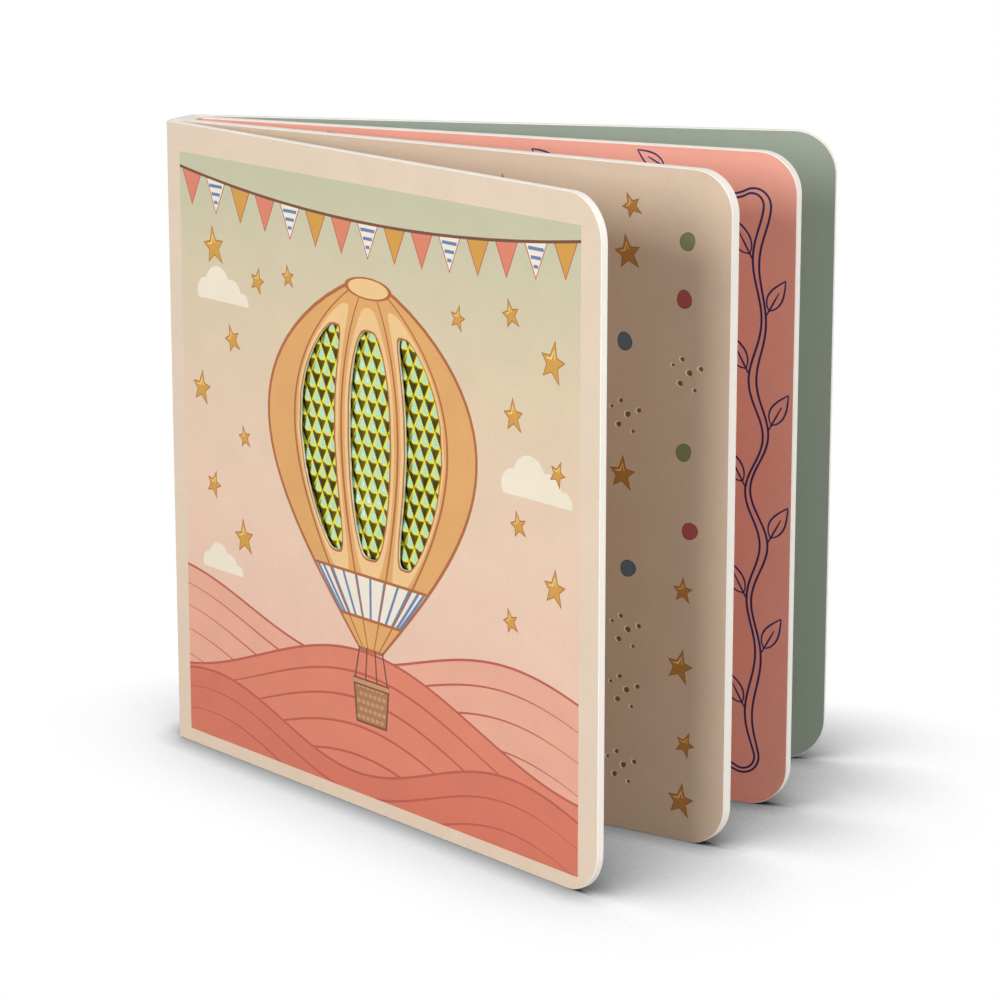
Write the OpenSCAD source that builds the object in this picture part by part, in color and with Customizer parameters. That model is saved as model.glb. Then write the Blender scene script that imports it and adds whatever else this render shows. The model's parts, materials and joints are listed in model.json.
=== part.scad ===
/* [Boards] */
// Height of every board, along the spine
board_h = 180; // [155:1:240]
// Width of every board, from the hinge line to the fore-edge
board_w = 182; // [150:1:240]
// Radius of the two fore-edge corners
corner_r = 12; // [3:0.5:25]
// Thickness of a cover, all its layers together
cover_t = 2.2; // [2:0.1:4]
// Thickness of one inner leaf
leaf_t = 3.6; // [2.5:0.1:6]

/* [Fan] */
// Turn of the front cover away from the middle of the book, as it stands
front_angle = 23; // [15:1:60]
// Turn of the first leaf to the front
leaf_a_angle = 7.5; // [2:0.5:12]
// Turn of the second leaf to the back
leaf_b_angle = 3; // [2:0.5:8]
// Turn of the back cover away from the middle of the book, as it stands
back_angle = 16; // [10:1:60]

/* [Spine] */
// Thickness of the spine strip
spine_t = 1.2; // [0.8:0.1:1.4]
// Distance between the facing sides of the two leaves, at the spine
leaf_gap = 2.6; // [1:0.1:5]
// Depth of the glued gutter between the two leaves
gutter_d = 5; // [3:0.5:10]
// Gap between a cover and the leaf that it closes on
hinge_gap = 0.4; // [0.2:0.05:0.8]

/* [Front cover] */
// Thickness of the die-cut face card
card_t = 0.5; // [0.4:0.05:0.6]

/* [Windows] */
// Largest radius of the balloon envelope that the windows follow
envelope_r = 44; // [30:1:50]
// Height of the envelope, crown to mouth
envelope_h = 106; // [95:1:130]
// Distance of the envelope's centre line from the hinge line
envelope_u = 90; // [70:1:105]
// Height of the crown above the foot of the book
crown_z = 147; // [120:1:165]
// Turn from one gore's middle to the next, round the envelope
gore_pitch = 32; // [28:1:40]
// Half the turn that a window covers
gore_half = 11.5; // [8:0.5:13]
// Distance of the windows' upper ends below the crown
window_drop = 14; // [8:1:20]
// Length of a window, end to end
window_len = 62; // [40:1:70]

/* [Foil] */
// Width of one embossed lozenge
lozenge_w = 4.4; // [3:0.2:8]
// Height of one embossed lozenge
lozenge_h = 8.2; // [5:0.2:12]
// Rise of a lozenge's peak over the film
emboss_h = 0.5; // [0.3:0.05:0.6]
// Thickness of the film
film_t = 0.2; // [0.15:0.05:0.3]
// Least width of film hidden behind the card all round the windows
foil_border = 3; // [2:0.5:6]
// Gap between the edge of the film and its pocket
foil_gap = 0.3; // [0.1:0.05:0.6]
// Gap between the lozenges' peaks and the back of the card
peak_gap = 0.1; // [0.05:0.05:0.15]

/* [Hidden] */
$fn = 64;

CREAM = [0.87, 0.79, 0.70];
WHITE_CORE = [0.94, 0.91, 0.86];
BEIGE = [0.86, 0.79, 0.71];
SAGE = [0.58, 0.62, 0.56];
FOIL_GOLD = [0.80, 0.80, 0.25];

// A cover's root is a half-round about its hinge line, so a cover turns in place
cover_r = cover_t / 2;
// Plane where the leaves meet the spine strip; the hinge lines lie on x = 0
root_x = spine_t - cover_r;
// Overlap of a cutting solid past the face that it opens
cut = 1;
// How far a trimming arc passes outside the edges that it joins, so that it leaves no sliver where it runs out
arc_ease = 0.03;

// Distance of a leaf's middle from the middle plane of the book, at the spine
leaf_y = (leaf_t + leaf_gap) / 2;
// Distance of a cover's hinge line from the middle plane, so that the cover clears the leaf by hinge_gap
function hinge_y(leaf_angle) =
    leaf_y + (leaf_t / 2 + hinge_gap + cover_r - root_x * sin(leaf_angle)) / cos(leaf_angle);
front_hinge_y = -hinge_y(leaf_a_angle);
back_hinge_y = hinge_y(leaf_b_angle);

// The envelope is fullest above its middle and draws in to the mouth
envelope_fullness = 0.75;
function envelope_radius(drop) = envelope_r * sin(180 * pow(drop / envelope_h, envelope_fullness));

// A window is a rounded oblong laid on the envelope between two meridians
window_corner = 0.55;
window_points = 48;
window_mid = window_drop + window_len / 2;
function rounded(s) = sign(s) * pow(abs(s), window_corner);
function window_point(gore, a) =
    let (drop = window_mid - rounded(sin(a)) * window_len / 2,
         turn = gore * gore_pitch + rounded(cos(a)) * gore_half)
    [envelope_u + envelope_radius(drop) * sin(turn), crown_z - drop];
function window_outline(gore) = [for (i = [0 : window_points - 1]) window_point(gore, i * 360 / window_points)];

// The film is a whole number of lozenges, each two steps wide and two steps high
step_u = lozenge_w / 2;
step_v = lozenge_h / 2;
reach_u = envelope_r * sin(gore_pitch + gore_half) + foil_border;
reach_v = window_len / 2 + foil_border;
steps_u = 2 * ceil(reach_u / step_u);
steps_v = 2 * ceil(reach_v / step_v);
foil_w = steps_u * step_u;
foil_h = steps_v * step_v;
foil_u = envelope_u - foil_w / 2;
foil_v = crown_z - window_mid - foil_h / 2;
pocket_d = film_t + emboss_h + peak_gap;

// A board seen face on: square at the spine, rounded at the fore-edge
module board_outline() {
    straight_x = board_w - corner_r;
    square([straight_x, board_h]);
    translate([0, corner_r]) square([board_w, board_h - 2 * corner_r]);
    for (z = [corner_r, board_h - corner_r])
        translate([straight_x, z]) circle(corner_r);
}

// Anything drawn face on, standing upright between two depths
module upright(from_y, to_y) {
    translate([0, to_y, 0]) rotate([90, 0, 0]) linear_extrude(to_y - from_y) children();
}

// One layer of a cover, between two depths, with its share of the half-round root
module cover_layer(from_y, to_y) {
    upright(from_y, to_y) board_outline();
    intersection() {
        cylinder(r = cover_r, h = board_h);
        translate([-cover_r, from_y, 0]) cube([cover_t, to_y - from_y, board_h]);
    }
}

module at_front_hinge() {
    translate([0, front_hinge_y, 0]) rotate(-front_angle) children();
}

module at_back_hinge() {
    translate([0, back_hinge_y, 0]) rotate(back_angle) children();
}

// The printed card of the front cover, with its windows cut through
module front_cover_card() {
    color(CREAM) at_front_hinge() difference() {
        cover_layer(-cover_r, card_t - cover_r);
        for (gore = [-1, 0, 1])
            upright(-cover_r - cut, card_t - cover_r + cut) polygon(window_outline(gore));
    }
}

// The board behind the card, with the pocket that holds the film
module front_cover_board() {
    face_y = card_t - cover_r;
    color(BEIGE) at_front_hinge() difference() {
        cover_layer(face_y, cover_r);
        translate([foil_u - foil_gap, face_y - cut, foil_v - foil_gap])
            cube([foil_w + 2 * foil_gap, pocket_d + cut, foil_h + 2 * foil_gap]);
    }
}

// Embossed film: peaks where both steps are odd or both even, valleys between them, and a flat rim
function on_rim(i, j) = i == 0 || j == 0 || i == steps_u || j == steps_v;
function is_peak(i, j) = (i + j) % 2 == 0;
function film_height(i, j) = film_t + (is_peak(i, j) && !on_rim(i, j) ? emboss_h : 0);
function film_index(i, j) = j * (steps_u + 1) + i;
// The two facets of one step, parted along the valley between its two peaks
function film_facets(i, j) =
    let (a = film_index(i, j), b = film_index(i + 1, j), c = film_index(i + 1, j + 1), d = film_index(i, j + 1))
    is_peak(i, j) ? [[a, d, b], [c, b, d]] : [[b, a, c], [d, c, a]];

module foil_sheet() {
    top = [for (j = [0 : steps_v], i = [0 : steps_u]) [i * step_u, j * step_v, film_height(i, j)]];
    rim = concat(
        [for (i = [0 : steps_u - 1]) [i, 0]],
        [for (j = [0 : steps_v - 1]) [steps_u, j]],
        [for (i = [steps_u : -1 : 1]) [i, steps_v]],
        [for (j = [steps_v : -1 : 1]) [0, j]]);
    under = [for (p = rim) [p[0] * step_u, p[1] * step_v, 0]];
    middle = [foil_w / 2, foil_h / 2, 0];
    first = len(top);
    count = len(rim);
    facets = [for (j = [0 : steps_v - 1], i = [0 : steps_u - 1]) each film_facets(i, j)];
    sides = [for (k = [0 : count - 1])
        let (n = (k + 1) % count)
        [first + k, film_index(rim[k][0], rim[k][1]), film_index(rim[n][0], rim[n][1]), first + n]];
    back = [for (k = [0 : count - 1]) [first + count, first + k, first + (k + 1) % count]];
    color(FOIL_GOLD) at_front_hinge()
        translate([foil_u, card_t - cover_r + pocket_d, foil_v])
            rotate([90, 0, 0]) polyhedron(concat(top, under, [middle]), concat(facets, sides, back));
}

// A point of an inner leaf, by its distance from the root and its depth from the leaf's middle plane
function leaf_point(turn, side, along, depth) =
    [root_x + along * cos(turn) - depth * sin(turn), side * leaf_y + along * sin(turn) + depth * cos(turn)];
// The point of a leaf's face that lies at a given x
function leaf_at(turn, side, x, depth) =
    leaf_point(turn, side, (x - root_x + depth * sin(turn)) / cos(turn), depth);

// What is trimmed off a leaf to round its fore-edge corners, seen face on
module corner_waste() {
    straight_x = board_w - corner_r;
    difference() {
        for (z = [-cut, board_h - corner_r])
            translate([straight_x, z]) square(corner_r + cut);
        for (z = [corner_r, board_h - corner_r])
            translate([straight_x, z]) circle(corner_r + arc_ease);
    }
}

module trim_corners(turn, side) {
    translate([root_x, side * leaf_y, 0]) rotate(turn)
        upright(-leaf_t / 2 - cut, leaf_t / 2 + cut) corner_waste();
}

// Both inner leaves, flush at the spine and joined up to the gutter's floor
module pages() {
    half = leaf_t / 2;
    gutter_x = root_x + gutter_d;
    profile = [
        leaf_at(-leaf_a_angle, -1, root_x, -half),
        leaf_point(-leaf_a_angle, -1, board_w, -half),
        leaf_point(-leaf_a_angle, -1, board_w, half),
        leaf_at(-leaf_a_angle, -1, gutter_x, half),
        leaf_at(leaf_b_angle, 1, gutter_x, -half),
        leaf_point(leaf_b_angle, 1, board_w, -half),
        leaf_point(leaf_b_angle, 1, board_w, half),
        leaf_at(leaf_b_angle, 1, root_x, half)];
    color(WHITE_CORE) difference() {
        linear_extrude(board_h) polygon(profile);
        trim_corners(-leaf_a_angle, -1);
        trim_corners(leaf_b_angle, 1);
    }
}

// The strip across the back of the leaves
module spine() {
    half_w = leaf_y + leaf_t / 2;
    color(CREAM) translate([-cover_r, -half_w, 0]) cube([spine_t, 2 * half_w, board_h]);
}

module back_cover() {
    color(SAGE) at_back_hinge() cover_layer(-cover_r, cover_r);
}

front_cover_card();
foil_sheet();
front_cover_board();
pages();
spine();
back_cover();
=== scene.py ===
# %% [markdown]
# # A touch-and-feel board book
#
# The book stands a little open, so that its covers and its two thick leaves fan out and each shows
# a strip of print. The CAD frame gives every board its place and its size. This script prints the
# boards, embosses the foil behind the cover's windows, and sets the light and the camera.

import json
import math
import random

import bmesh
import bpy
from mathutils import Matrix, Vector
from mathutils.geometry import delaunay_2d_cdt


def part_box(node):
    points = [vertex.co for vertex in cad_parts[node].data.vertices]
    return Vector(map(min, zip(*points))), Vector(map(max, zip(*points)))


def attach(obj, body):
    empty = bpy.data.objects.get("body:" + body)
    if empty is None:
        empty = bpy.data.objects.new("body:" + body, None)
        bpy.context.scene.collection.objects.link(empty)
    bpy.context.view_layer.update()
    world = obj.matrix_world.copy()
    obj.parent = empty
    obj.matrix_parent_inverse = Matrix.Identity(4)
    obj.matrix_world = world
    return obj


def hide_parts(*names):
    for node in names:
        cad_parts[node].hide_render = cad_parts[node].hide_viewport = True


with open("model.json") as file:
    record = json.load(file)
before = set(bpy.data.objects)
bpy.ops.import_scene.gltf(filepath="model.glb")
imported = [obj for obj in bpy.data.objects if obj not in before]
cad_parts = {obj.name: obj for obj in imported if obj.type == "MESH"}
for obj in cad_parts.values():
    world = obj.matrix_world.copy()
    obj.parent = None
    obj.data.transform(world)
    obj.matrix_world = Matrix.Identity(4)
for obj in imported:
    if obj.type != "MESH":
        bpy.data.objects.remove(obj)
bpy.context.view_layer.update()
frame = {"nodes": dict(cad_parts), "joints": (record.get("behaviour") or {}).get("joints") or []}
MM = 0.001
UP = Vector((0, 0, 1))

# %% [markdown]
# ## The camera
#
# The picture was taken from a long way off with a long lens, from a little above the book. Its upright
# edges are parallel, which a strongly shifted lens would give. Such a shift would push the book out of
# every other view, so the camera is tilted instead. Its place and its turn were found by laying the
# boards' corners over the picture.

# %% Camera
LENS = 129.6
SENSOR = 36
CAMERA_PLACE = Vector((0.5336, -0.8615, 0.3135))
CAMERA_TURN = math.radians(26.72)
CAMERA_DIP = math.radians(13.6)

lens = bpy.data.cameras.new("camera")
lens.lens = LENS
lens.sensor_width = SENSOR
camera = bpy.data.objects.new("camera", lens)
camera.location = CAMERA_PLACE
camera.rotation_euler = (math.pi / 2 - CAMERA_DIP, 0, CAMERA_TURN)
bpy.context.scene.collection.objects.link(camera)
bpy.context.scene.camera = camera
print("camera at", tuple(camera.location), "lens", lens.lens)

# %% [markdown]
# ## Shader sums
#
# A material is easier to read as a formula than as a tangle of nodes. The class below wraps one
# socket, and a sum of such wires and plain numbers adds the Math nodes that it needs. Colours go
# through a Mix node, because a Math node would turn them grey.

# %% A socket that takes part in sums
MIX_FACTOR, MIX_FIRST, MIX_SECOND, MIX_COLOUR = 0, 6, 7, 2


class Wire:
    """A socket of a material's nodes."""

    def __init__(self, tree, socket=None):
        self.tree = tree
        self.socket = socket

    def node(self, kind, settings=None, inputs=None, output=0):
        """Any node: its settings go in first, then the values and the links of its sockets."""
        made = self.tree.nodes.new(kind)
        for name, value in (settings or {}).items():
            if name == "stops":
                set_stops(made.color_ramp, value)
            else:
                setattr(made, name, value)
        for name, value in (inputs or {}).items():
            feed(self.tree, made.inputs[name], value)
        return Wire(self.tree, made.outputs[output])

    def sum(self, operation, first, second):
        return self.node("ShaderNodeMath", {"operation": operation}, {0: first, 1: second})

    def mixed(self, blend, factor, first, second):
        """Two colours through a Mix node."""
        settings = {"data_type": "RGBA", "blend_type": blend}
        inputs = {MIX_FACTOR: factor, MIX_FIRST: first, MIX_SECOND: second}
        return self.node("ShaderNodeMix", settings, inputs, MIX_COLOUR)

    def __add__(self, other):
        return self.sum("ADD", self, other)

    def __radd__(self, other):
        return self.sum("ADD", other, self)

    def __sub__(self, other):
        return self.sum("SUBTRACT", self, other)

    def __rsub__(self, other):
        return self.sum("SUBTRACT", other, self)

    def __mul__(self, other):
        return self.sum("MULTIPLY", self, other)

    def __rmul__(self, other):
        return self.sum("MULTIPLY", other, self)


print("a wire answers to", [name for name in vars(Wire) if name.startswith("__r")])

# %% [markdown]
# ### Sockets, ramps and new finishes
#
# A socket takes either a plain value or a link, and Blender sets them in two different ways. One small
# function hides that, so that a formula needn't care. A finish starts from the shader that Blender gives
# every new material, because it covers paper as well as metal.


# %% Sockets, ramps and new finishes
def feed(tree, socket, value):
    """Sets a socket to a plain value, or links a wire to it."""
    if isinstance(value, Wire):
        tree.links.new(value.socket, socket)
    else:
        socket.default_value = value


def set_stops(ramp, stops):
    """Places and colours of a ramp's stops. A new stop starts half-way and is then moved."""
    while len(ramp.elements) < len(stops):
        ramp.elements.new(0.5)
    for element, (position, colour) in zip(ramp.elements, stops):
        element.position = position
        element.color = colour


def new_finish(name):
    """A material, a wire to start its nodes from, and its shader."""
    material = bpy.data.materials.new(name)
    material.use_nodes = True
    tree = material.node_tree
    return material, Wire(tree), tree.nodes["Principled BSDF"]


print("finishes start from the Principled BSDF")

# %% [markdown]
# ## Printed board
#
# Board books are printed on sheets of coated paper with a matt film and then glued to grey or white
# board. The ink lies a little unevenly over the fibres, which shows as a soft cloud and a fine grain.
# One recipe serves every ink: the colour is multiplied by that unevenness, and the fibres lift the
# surface by a few hundredths of a millimetre.

# %% Ink on coated board
CLOUD_SIZE = 12 * MM
GRAIN_SIZE = 0.55 * MM
FIBRE_SIZE = 0.3 * MM
FIBRE_LIFT = 0.02 * MM
FIBRE_STRENGTH = 0.4
CLOUD_DETAIL = 3.0
GRAIN_DETAIL = 2.0
FIBRE_DETAIL = 4.0
INK_ROUGHNESS = 0.5
GRAIN_ROUGHNESS = 0.2
INKS = {}


def tone(red, green, blue):
    """A colour given as it looks on a screen, as the share of light that it sends back, by the sRGB curve."""
    shares = [level / 255 for level in (red, green, blue)]
    return tuple(s / 12.92 if s <= 0.04045 else ((s + 0.055) / 1.055) ** 2.4 for s in shares) + (1.0,)


def speckle(wire, place, size, detail):
    """Noise with features of about a given size, between 0 and 1."""
    return wire.node("ShaderNodeTexNoise", {}, {"Vector": place, "Scale": 1 / size, "Detail": detail})


def printed(name, colour, cloud=0.05, grain=0.07):
    """A printed ink: its colour, and how much the cloud and the grain change it."""
    material, wire, shader = new_finish(name)
    place = wire.node("ShaderNodeTexCoord", output="Object")
    clouds = speckle(wire, place, CLOUD_SIZE, CLOUD_DETAIL)
    grains = speckle(wire, place, GRAIN_SIZE, GRAIN_DETAIL)
    fibres = speckle(wire, place, FIBRE_SIZE, FIBRE_DETAIL)
    evenness = 1 - cloud - grain + clouds * (2 * cloud) + grains * (2 * grain)
    colour = colour(wire, place) if callable(colour) else colour
    feed(wire.tree, shader.inputs["Base Color"], wire.mixed("MULTIPLY", 1.0, colour, evenness))
    feed(wire.tree, shader.inputs["Roughness"], INK_ROUGHNESS + GRAIN_ROUGHNESS * grains)
    relief = {"Height": fibres, "Distance": FIBRE_LIFT, "Strength": FIBRE_STRENGTH}
    feed(wire.tree, shader.inputs["Normal"], wire.node("ShaderNodeBump", {}, relief))
    INKS[name] = material
    return material


printed("cream", tone(227, 207, 184))
printed("beige", tone(219, 196, 172))
printed("coral_page", tone(240, 170, 150))
printed("sage_page", tone(156, 166, 150))
printed("cut_white", tone(246, 241, 233), cloud=0.02, grain=0.06)
printed("core", tone(252, 247, 238), cloud=0.02, grain=0.06)
print(len(INKS), "inks mixed for the boards")

# %% [markdown]
# ## Boards as the frame has them
#
# Every board of the book is flat, square at the spine and rounded at the fore-edge. Rather than
# writing those sizes again, each board is measured from its CAD node: the widest flat face gives the
# way it faces, and the furthest points give its width and its depths. A printed board is then drawn
# in millimetres on the board itself: u runs from the root to the fore-edge, v runs up, and the depth
# runs from the front to the back.

# %% Measure a board
# A point this near to an edge counts as on it, in millimetres
TOUCH = 0.01


class Board:
    """One board of the book, in millimetres on its own faces."""

    def __init__(self, names, root, keep=None):
        meshes = [frame["nodes"][name].data for name in names]
        faces = [f for mesh in meshes for f in mesh.polygons if keep is None or keep(f.center)]
        widest = max(faces, key=lambda face: face.area).normal
        self.root = root
        self.through = widest.copy() if widest.y > 0 else -widest
        self.along = self.through.cross(UP)
        points = [self.local(v.co) for mesh in meshes for v in mesh.vertices if keep is None or keep(v.co)]
        self.width = max(u for u, depth, v in points)
        self.height = max(v for u, depth, v in points)
        self.corner = min(v for u, depth, v in points if u > self.width - TOUCH)
        outer = [depth for u, depth, v in points if u > self.width / 2]
        self.back = (max(outer) - min(outer)) / 2
        self.front = -self.back
        self.root = root + self.through * ((max(outer) + min(outer)) / 2 * MM)

    def local(self, point):
        """u, depth and v of a point of the frame."""
        arm = (point - self.root) / MM
        return arm.dot(self.along), arm.dot(self.through), arm.z

    def at(self, u, depth, v):
        """The point of the frame at u, depth and v."""
        return self.root + (self.along * u + self.through * depth + UP * v) * MM

    def root_u(self, x, depth):
        """The u at which a depth of the board meets an upright plane across the book."""
        return ((x - self.root.x) / MM - self.through.x * depth) / self.along.x


hinges = {joint["child"]: Vector(joint["pos_m"]) for joint in frame["joints"]}
pages_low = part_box("pages")[0]
leaf_root = Vector((pages_low.x, 0, 0))
front_cover = Board(["front_cover_card", "front_cover_board"], hinges["front_cover"])
back_cover = Board(["back_cover"], hinges["back_cover"])
leaf_a = Board(["pages"], leaf_root, lambda point: point.y < 0)
leaf_b = Board(["pages"], leaf_root, lambda point: point.y > 0)
for board in (front_cover, leaf_a, leaf_b, back_cover):
    print(f"board {board.width:.1f} x {board.height:.1f} mm, {board.back - board.front:.2f} mm thick")

# %% [markdown]
# ## Shapes to print
#
# A print could be an image or a sum of masks in the material. Here it is geometry: each shape is a
# polygon on the board, and later the board's own face is cut along them, so that every edge stays
# sharp at any distance. The few helpers below draw what the whole book needs.

# %% Flat shapes
ROUND_POINTS = 28
OVAL_WOBBLE = 0.05
LUMP_WOBBLE = 0.03
STAR_ARMS = (1.12, 0.88, 0.94, 1.1, 0.9)
STAR_WAIST = 0.43


def disc(u, v, reach, squash=1.0):
    """A round or an oval, squash times as high as it is wide."""
    turns = [2 * math.pi * k / ROUND_POINTS for k in range(ROUND_POINTS)]
    return [(u + reach * math.cos(t), v + reach * squash * math.sin(t)) for t in turns]


def blob(u, v, reach, turn):
    """A dabbed dot, a little out of round."""
    points = []
    for k in range(ROUND_POINTS):
        t = 2 * math.pi * k / ROUND_POINTS
        wobble = 1 + OVAL_WOBBLE * math.sin(2 * t + turn) + LUMP_WOBBLE * math.sin(3 * t + 2 * turn)
        points.append((u + reach * wobble * math.cos(t), v + reach * wobble * math.sin(t)))
    return points


def star(u, v, reach, turn):
    """A painted star with uneven arms, the first one turned from upright by some degrees."""
    points = []
    for k in range(2 * len(STAR_ARMS)):
        radius = reach * (STAR_WAIST if k % 2 else STAR_ARMS[k // 2])
        angle = math.radians(90 + turn) + math.pi * k / len(STAR_ARMS)
        points.append((u + radius * math.cos(angle), v + radius * math.sin(angle)))
    return points


print("a star has", len(star(0, 0, 1, 0)), "points and a dot has", ROUND_POINTS)

# %% [markdown]
# ### Lines and cuts
#
# A brushed line could be a curve with a bevel, but ink has no height. Here a line is a row of flat quads
# along its path, thinner towards its ends where the brush was lifted. What would pass the edge of a
# picture is clipped off first, because a shape has to lie inside the board that it cuts.


# %% Lines and cuts
def stroke(path, width, taper=1.0):
    """A painted line as a row of quads. Its ends are taper times as wide as its middle."""
    sides = []
    for k, (u, v) in enumerate(path):
        before = path[max(k - 1, 0)]
        after = path[min(k + 1, len(path) - 1)]
        run = math.hypot(after[0] - before[0], after[1] - before[1])
        middle = math.sin(math.pi * k / (len(path) - 1))
        half = width / 2 * (taper + (1 - taper) * middle)
        du = (after[1] - before[1]) / run * half
        dv = (before[0] - after[0]) / run * half
        sides.append(((u + du, v + dv), (u - du, v - dv)))
    return [[a[0], b[0], b[1], a[1]] for a, b in zip(sides, sides[1:])]


def clipped(shape, box):
    """What is left of a shape inside a box of left, bottom, right and top."""
    left, bottom, right, top = box
    for axis, limit, side in ((0, left, 1), (0, right, -1), (1, bottom, 1), (1, top, -1)):
        kept = []
        for a, b in zip(shape, shape[1:] + shape[:1]):
            gap_a = (a[axis] - limit) * side
            gap_b = (b[axis] - limit) * side
            if gap_a >= 0:
                kept.append(a)
            if gap_a * gap_b < 0:
                share = gap_a / (gap_a - gap_b)
                kept.append((a[0] + (b[0] - a[0]) * share, a[1] + (b[1] - a[1]) * share))
        shape = kept
    return shape


def line(ink, path, width, taper=1.0, box=None):
    """A painted line as shapes of one ink, clipped to a box if there is one."""
    return [(ink, clipped(quad, box) if box else quad) for quad in stroke(path, width, taper)]


def wound(shape):
    """The shape with its corners in anticlockwise order."""
    area = sum(a[0] * b[1] - b[0] * a[1] for a, b in zip(shape, shape[1:] + shape[:1]))
    return shape if area > 0 else shape[::-1]


print("a line through 3 points has", len(stroke([(0, 0), (1, 0), (2, 0)], 1)), "quads")

# %% [markdown]
# ### Painted stars
#
# The stars of such books are dabs of ochre with a brown outline and a light stroke inside. They could be
# one polygon with a shaded material. Three flat inks, one over the other, keep the look of print.

# %% Painted stars
printed("gold", tone(208, 154, 66))
printed("page_gold", tone(186, 128, 58))
printed("gold_line", tone(170, 108, 48))
printed("gold_light", tone(244, 212, 132))
STAR_LINE = 0.55
STAR_GLINT = 0.6
GLINT_WIDTH = 0.13
GLINT_TAPER = 0.5
# Corners of a star that the light stroke runs through: a waist, the first arm, a waist and the next arm
GLINT_CORNERS = (9, 0, 1, 2)


def gold_star(u, v, reach, turn, ink="gold"):
    """A star with a brown outline and a light chevron, as painted stars often have."""
    inner = star(u, v, STAR_GLINT * reach, turn)
    art = [("gold_line", star(u, v, reach + STAR_LINE, turn))]
    art.append((ink, star(u, v, reach - STAR_LINE / 2, turn)))
    return art + line("gold_light", [inner[k] for k in GLINT_CORNERS], GLINT_WIDTH * reach, GLINT_TAPER)


print(len(gold_star(0, 0, 1, 0)), "shapes in a painted star")

# %% [markdown]
# ## A closed shell with a printed face
#
# A board is one closed mesh. It could be a box with a bevel, but its printed faces are cut into many
# inks and have to share every corner with its edges. So a small class collects the faces one by one,
# shares the corners that lie at one place, and hands the result to the frame as a finished piece.

# %% Shell
WELD_DIGITS = 7


class Shell:
    """A closed mesh in the making. Corners at one place are shared."""

    def __init__(self):
        self.index = {}
        self.points = []
        self.faces = []
        self.inks = []

    def corner(self, point):
        key = tuple(round(c, WELD_DIGITS) for c in point)
        if key not in self.index:
            self.index[key] = len(self.points)
            self.points.append(point)
        return self.index[key]

    def face(self, points, ink):
        ring = [self.corner(p) for p in points]
        ring = [c for k, c in enumerate(ring) if c != ring[k - 1]]
        if len(ring) > 2:
            self.faces.append(ring)
            self.inks.append(ink)

    def strip(self, first, second, ink):
        """Quads between two rows of points."""
        for k in range(len(first) - 1):
            self.face([first[k], first[k + 1], second[k + 1], second[k]], ink)

    def wall(self, board, outline, near, far, ink):
        """The cut sides of an opening, between two depths."""
        loop = outline + outline[:1]
        self.strip([board.at(u, near, v) for u, v in loop], [board.at(u, far, v) for u, v in loop], ink)

    def piece(self, name, body, slot, *nodes):
        """The finished piece, riding on its body in the place of its CAD nodes."""
        mesh = bpy.data.meshes.new(name)
        mesh.from_pydata(self.points, [], self.faces)
        used = sorted(set(self.inks))
        for ink in used:
            mesh.materials.append(INKS[ink])
        for polygon, ink in zip(mesh.polygons, self.inks):
            polygon.material_index = used.index(ink)
        work = bmesh.new()
        work.from_mesh(mesh)
        bmesh.ops.recalc_face_normals(work, faces=work.faces)
        open_edges = sum(not edge.is_manifold for edge in work.edges)
        work.to_mesh(mesh)
        work.free()
        made = bpy.data.objects.new(name, mesh)
        bpy.context.scene.collection.objects.link(made)
        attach(made, body)
        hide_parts(*nodes)
        print(f"{name}: {len(mesh.polygons)} faces, {len(used)} inks, {open_edges} open edges")
        return made


print("corners that agree to", WELD_DIGITS, "digits of a metre are shared")

# %% [markdown]
# ### A printed face
#
# Print is a skin of inks with no thickness. An image would blur from close by, and shapes laid in the same
# plane would flicker. Instead the face itself is cut along the shapes by a constrained Delaunay
# triangulation, which also says which shapes cover each triangle: the last one printed lies on top.

# %% Printed face
CUT_OUT = None
NEAR = 1e-5
# The kind of result of the triangulation that keeps what lies inside the rings
INSIDE_ONLY = 1


def print_face(shell, board, depth, edge, art, ground):
    """One face of a board inside its edge, cut along the shapes of its art."""
    loops = [edge] + [shape for ink, shape in art]
    inks = [ground] + [ink for ink, shape in art]
    spots = [spot for loop in loops for spot in wound(loop)]
    rings = []
    first = 0
    for loop in loops:
        rings.append(list(range(first, first + len(loop))))
        first += len(loop)
    cut = delaunay_2d_cdt([Vector(spot) for spot in spots], [], rings, INSIDE_ONLY, NEAR)
    places, triangles, sources, owners = cut[0], cut[2], cut[3], cut[5]
    spots = [spots[own[0]] if own else tuple(place) for place, own in zip(places, sources)]
    for triangle, covered_by in zip(triangles, owners):
        ink = inks[max(covered_by)]
        if ink is not CUT_OUT:
            shell.face([board.at(spots[c][0], depth, spots[c][1]) for c in triangle], ink)


print("faces are cut to within", NEAR, "mm")

# %% [markdown]
# ## Edges of a board
#
# A board's edge is cut by a die, which rolls the paper over by a fifth of a millimetre and bares the white
# core. A Bevel modifier could round it, but paper and core need inks of their own. So the edge is a stack
# of rings: the face's rim, set in by the roll, then the paper's own thickness, the core, and the same at
# the other face.

# %% Edge rings
EDGE_ROLL = 0.2
PAPER_LIP = 0.5
ARC_STEPS = 16


def edge_path(board, inset, start):
    """A board's free edges: from the root along the foot, up the fore-edge and back along the head."""
    reach = board.corner - inset
    points = [(start, inset)]
    for v, first in ((board.corner, -90), (board.height - board.corner, 0)):
        for k in range(ARC_STEPS + 1):
            angle = math.radians(first + 90 * k / ARC_STEPS)
            u = board.width - board.corner + reach * math.cos(angle)
            points.append((u, v + reach * math.sin(angle)))
    points.append((start, board.height - inset))
    return points


def ring(board, depth, inset, start):
    """An edge path as points of the frame."""
    return [board.at(u, depth, v) for u, v in edge_path(board, inset, start)]


print("edge of a cover:", len(edge_path(front_cover, EDGE_ROLL, 0.0)), "points")

# %% [markdown]
# ### Layers of a cover
#
# A cover ends in a half-round root about its hinge line, because the paper is folded round it there. The
# front cover is two layers glued together and the back cover is one, so a function makes a layer between
# any two depths. Only an outer face of the cover has a rolled edge.

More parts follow.
